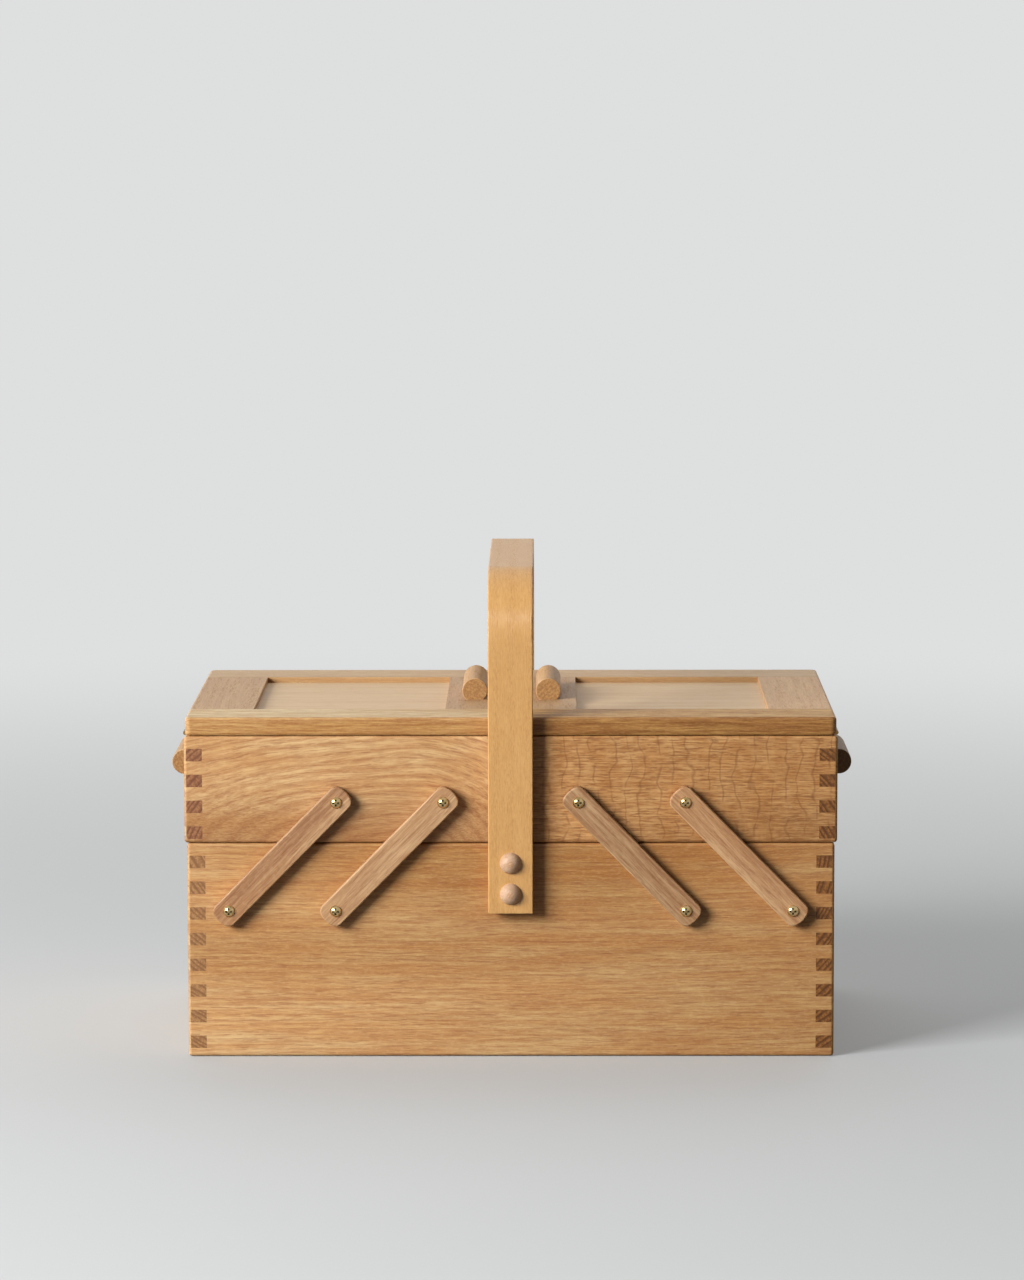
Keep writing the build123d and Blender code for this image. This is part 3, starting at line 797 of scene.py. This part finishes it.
@dataclass
class Handle:
    """The bent strap with the pads behind its legs and the pegs through them."""

    shop: Workshop
    corner: float = 36.0       # outer radius of the strap's two bends, mm

    def dress(self) -> None:
        """Gives the strap its bent beech, the pads their oak and the pegs their birch."""
        name = "handle_strap"
        low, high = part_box(name)
        thickness = high[1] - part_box("handle_pads")[1][1]
        corner = self.corner * MM
        bend = Bend(high[1] - corner, high[2] - corner, corner - thickness / 2, thickness, low[2])
        cut = Cut(Grain.ALONG_X.value, heart=(0.0, 50.0, -70.0), tone=0.96, seed=61)
        self.shop.paint(name, BentWoodRecipe(BENT_BEECH, cut, self.shop.nodes[name], bend).build())
        self.shop.timber("handle_pads", OAK, Cut(Grain.ALONG_Z.value, heart=(40.0, 0.0, 0.0), seed=62))
        self.shop.timber("handle_pegs", TURNED_BIRCH,
                         Cut(Grain.ALONG_Y.value, heart=(9.0, 0.0, -14.0), seed=63))


# ------------------------------------------------------------------ studio
@dataclass
class Studio:
    """Floor, light and camera."""

    floor_half: float = 9.0                 # metres, as all lengths here but the lens's
    floor_drop: float = 0.0002              # keeps the floor off the boards' lower edges
    floor_colour: str = "c4c6c6"            # pale grey, as the eye meets it
    floor_bounce: str = "4c4c4c"            # what it throws back up
    floor_roughness: float = 0.8
    floor_haze: Pair = (0.25, 1.7)          # where the floor starts and ends to melt into the wall
    floor_glow: float = 0.2                 # how much of the wall's paleness lies on it throughout
    wall_colour: str = "dedfdf"
    wall_light: float = 0.8                 # how much of its paleness it throws on the carrier
    wall_rise: Pair = (-0.05, 0.5)          # how squarely behind the carrier that starts and is full
    dim_colour: str = "131314"              # the unlit room on the camera's side
    lamp_way: Triple = (-1.2, -1.0, 0.62)   # from the carrier to the lamp
    lamp_distance: float = 2.3
    lamp_size: Pair = (1.18, 1.0)
    lamp_power: float = 86.0                # watts
    ceiling_place: Triple = (0.0, 1.1, 1.6)
    ceiling_size: Pair = (1.4, 1.4)
    ceiling_power: float = 7.4              # on matt surfaces only
    fanlight_place: Triple = (0.0, -1.75, 1.45)
    fanlight_size: Pair = (0.34, 0.34)
    fanlight_power: float = 5.4             # as a highlight only
    aim: Triple = (0.0, -0.1, 0.1)          # what the lamps point at
    eye: Triple = (0.019592, -2.650678, 0.508474)  # where the camera stands
    yaw: float = 0.42148                    # degrees
    pitch: float = 6.61173
    roll: float = -0.09675
    lens: float = 143.567                   # millimetres
    sensor: float = 36.0                    # millimetres, along its longer side

    def background_rays(self, tree: bpy.types.NodeTree) -> Socket:
        """1 for the rays by which the background is seen: straight, in metal or through glass."""
        rays = add_node(tree, "LightPath", {}).node.outputs
        seen = add_node(tree, "Math", {0: rays["Is Camera Ray"], 1: rays["Is Glossy Ray"]},
                        operation="MAXIMUM")
        return add_node(tree, "Math", {0: seen, 1: rays["Is Transmission Ray"]}, operation="MAXIMUM")

    def lay_floor(self) -> None:
        """Lays a wide pale floor just under the carrier, which melts into the wall further off."""
        mesh = bpy.data.meshes.new("floor")
        shape = bmesh.new()
        bmesh.ops.create_grid(shape, x_segments=1, y_segments=1, size=self.floor_half)
        bmesh.ops.translate(shape, verts=shape.verts, vec=(0.0, 0.0, -self.floor_drop))
        shape.to_mesh(mesh)
        shape.free()
        floor = bpy.data.objects.new("floor", mesh)
        bpy.context.scene.collection.objects.link(floor)
        material = start_material("pale_plaster")
        tree = material.node_tree
        seen = self.background_rays(tree)
        colour = add_node(tree, "Mix", {0: seen, 6: linear(self.floor_bounce),
                                        7: linear(self.floor_colour)}, 2, data_type="RGBA")
        plaster = add_node(tree, "BsdfPrincipled", {"Base Color": colour,
                                                    "Roughness": self.floor_roughness})
        wall = add_node(tree, "Emission", {"Color": linear(self.wall_colour)})
        point = add_node(tree, "TexCoord", {}, "Object")
        reach = add_node(tree, "VectorMath", {0: point}, "Value", operation="LENGTH")
        near, far = self.floor_haze
        haze = add_node(tree, "MapRange", {"Value": reach, "From Min": near, "From Max": far,
                                           "To Min": self.floor_glow}, interpolation_type="SMOOTHSTEP")
        shown = add_node(tree, "Math", {0: haze, 1: seen}, operation="MULTIPLY")
        surface = add_node(tree, "MixShader", {0: shown, 1: plaster, 2: wall})
        end_material(tree, surface)
        mesh.materials.append(material)

    def hang_lamp(
        self, name: str, place: Vector, size: Pair, power: float,
        spreads: bool = True, shines: bool = True
    ) -> None:
        """Hangs a soft rectangular lamp that points at the carrier.

        Args:
            name: its name.
            place: where its middle hangs.
            size: its width and height in metres.
            power: in watts.
            spreads: whether it lights matt surfaces, or only shows as a highlight.
            shines: whether it shows as a highlight, or only lights matt surfaces.
        """
        lamp = bpy.data.lights.new(name, "AREA")
        lamp.shape = "RECTANGLE"
        lamp.size, lamp.size_y = size
        lamp.energy = power
        holder = bpy.data.objects.new(name, lamp)
        holder.location = place
        holder.rotation_euler = (Vector(self.aim) - place).to_track_quat("-Z", "Y").to_euler()
        holder.visible_camera = False
        holder.visible_diffuse = spreads
        holder.visible_glossy = shines
        bpy.context.scene.collection.objects.link(holder)

    def light(self) -> None:
        """Hangs the window's and the ceiling's light, and the fanlight, which only adds a highlight.

        The world is a pale wall behind the carrier and an unlit room in front of it.
        """
        window = Vector(self.aim) + Vector(self.lamp_way).normalized() * self.lamp_distance
        self.hang_lamp("window", window, self.lamp_size, self.lamp_power)
        self.hang_lamp("ceiling", Vector(self.ceiling_place), self.ceiling_size, self.ceiling_power,
                       shines=False)
        self.hang_lamp("fanlight", Vector(self.fanlight_place), self.fanlight_size,
                       self.fanlight_power, spreads=False)
        world = bpy.data.worlds.new("studio")
        world.use_nodes = True
        bpy.context.scene.world = world
        tree = world.node_tree
        way_out = add_node(tree, "TexCoord", {}, "Generated")
        way_back = add_node(tree, "SeparateXYZ", {0: way_out}, "Y")
        start, full = self.wall_rise
        behind = add_node(tree, "MapRange", {"Value": way_back, "From Min": start, "From Max": full,
                                             "To Max": self.wall_light},
                          interpolation_type="SMOOTHSTEP")
        pale = add_node(tree, "Math", {0: behind, 1: self.background_rays(tree)}, operation="MAXIMUM")
        colour = add_node(tree, "Mix", {0: pale, 6: linear(self.dim_colour),
                                        7: linear(self.wall_colour)}, 2, data_type="RGBA")
        tree.links.new(colour, tree.nodes["Background"].inputs["Color"])

    def place_camera(self) -> None:
        """Sets the camera where the carrier is looked at from the front, a little from above."""
        data = bpy.data.cameras.new("eye")
        data.lens, data.sensor_width = self.lens, self.sensor
        camera = bpy.data.objects.new("eye", data)
        bpy.context.scene.collection.objects.link(camera)
        turn = Euler((0.0, 0.0, radians(self.yaw))).to_matrix()
        turn = turn @ Euler((radians(90.0 - self.pitch), 0.0, 0.0)).to_matrix()
        turn = turn @ Euler((0.0, 0.0, radians(self.roll))).to_matrix()
        camera.matrix_world = turn.to_4x4()
        camera.location = self.eye
        bpy.context.scene.camera = camera

    def set_up(self) -> None:
        """Builds the whole studio."""
        bpy.context.scene.view_settings.view_transform = "Standard"
        self.place_camera()
        self.lay_floor()
        self.light()


def main() -> None:
    """Loads the frame, dresses every sub-assembly and sets up the studio."""
    logging.basicConfig(level=logging.INFO, format="%(name)s: %(message)s")
    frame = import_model()
    Studio().set_up()
    shop = Workshop(frame)
    Carcass(shop).dress()
    Tray(shop, Side.LEFT, RUSSET_END_OAK, PLAIN_SAWN_OAK,
         Cut(Grain.ALONG_X.value, heart=(33.0, 14.0, -32.0), taper=(-0.36, 0.8), seed=11,
             core=(16.0, 43.0, 0.68), core_taper=0.08, tone=1.03), 12).dress()
    # The right end pull is darkened further, as painted shade: it lies in the tray's shadow.
    Tray(shop, Side.RIGHT, HEART_OAK, QUARTERED_OAK,
         Cut(Grain.ALONG_X.value, heart=(60.0, 25.0, -220.0), seed=21, tone=1.06,
             core=(198.0, 226.0, 0.5), core_taper=1.0), 22, pull_tone=0.52).dress()
    # Both lids' front rails are raised in tone and deepened on their front faces: painted sheen on
    # their tops.
    Lid(shop, Side.LEFT, 31, {"front_rail": SAP_OAK, "back_rail": CREAM_OAK},
        {"front_rail": 1.25, "inner_stile": 0.87, "outer_stile": 0.87, "back_rail": 0.97}).dress()
    Lid(shop, Side.RIGHT, 41, {"front_rail": STREAKED_OAK, "back_rail": CREAM_OAK},
        {"front_rail": 1.32, "outer_stile": 1.04, "inner_stile": 0.86, "back_rail": 0.95,
         "panel": 1.04}, front_core=0.7).dress()
    Arms(shop, Side.LEFT, 51).dress()
    Arms(shop, Side.RIGHT, 56, tones={"front_outer": 1.09, "front_inner": 0.87}, striped="front_inner",
         stripe_heart=(14.0, 2.0, 14.0), stripe_core=(12.0, 18.0, 0.5)).dress()
    Handle(shop).dress()


if __name__ == "__main__":
    main()
